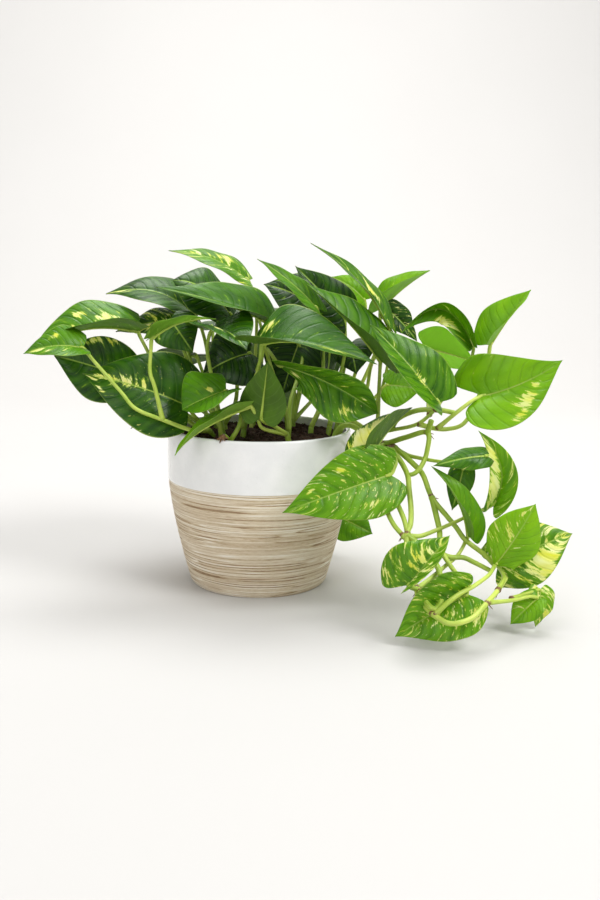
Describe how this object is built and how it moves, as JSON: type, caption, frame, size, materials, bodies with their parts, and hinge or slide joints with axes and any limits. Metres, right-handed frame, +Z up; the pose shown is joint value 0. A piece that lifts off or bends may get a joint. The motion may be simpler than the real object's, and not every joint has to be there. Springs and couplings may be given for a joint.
{
  "type": "potted pothos plant",
  "caption": "Trailing pothos with variegated heart-shaped leaves in a filled round ceramic planter: a leafy crown and vines that hang over the right of the rim.",
  "frame": {"origin": "centre of the pot's flat underside, on the surface that it stands on", "axes": "+Z up, -Y towards the front, +X towards the side where the vines hang over the rim"},
  "size_m": [0.4512, 0.3292, 0.3033],
  "materials": {
    "planter": "gloss",
    "potting_soil": "matte",
    "foliage": "satin"
  },
  "bodies": {
    "root": {"pot": "planter", "soil": "potting_soil", "stem_left_front": "foliage", "stem_left_low": "foliage", "stem_left_back": "foliage", "stem_left_high": "foliage", "stem_left_inner": "foliage", "stem_left_middle": "foliage", "stem_front_small": "foliage", "stem_front_arching": "foliage", "stem_front_rim": "foliage", "stem_centre": "foliage", "stem_centre_tall": "foliage", "stem_centre_back": "foliage", "stem_right_upright": "foliage", "stem_right_back": "foliage", "vine_right": "foliage", "vine_trailing": "foliage", "stem_back_left": "foliage", "stem_back_middle": "foliage", "stem_back_right": "foliage"}
  },
  "joints": []
}
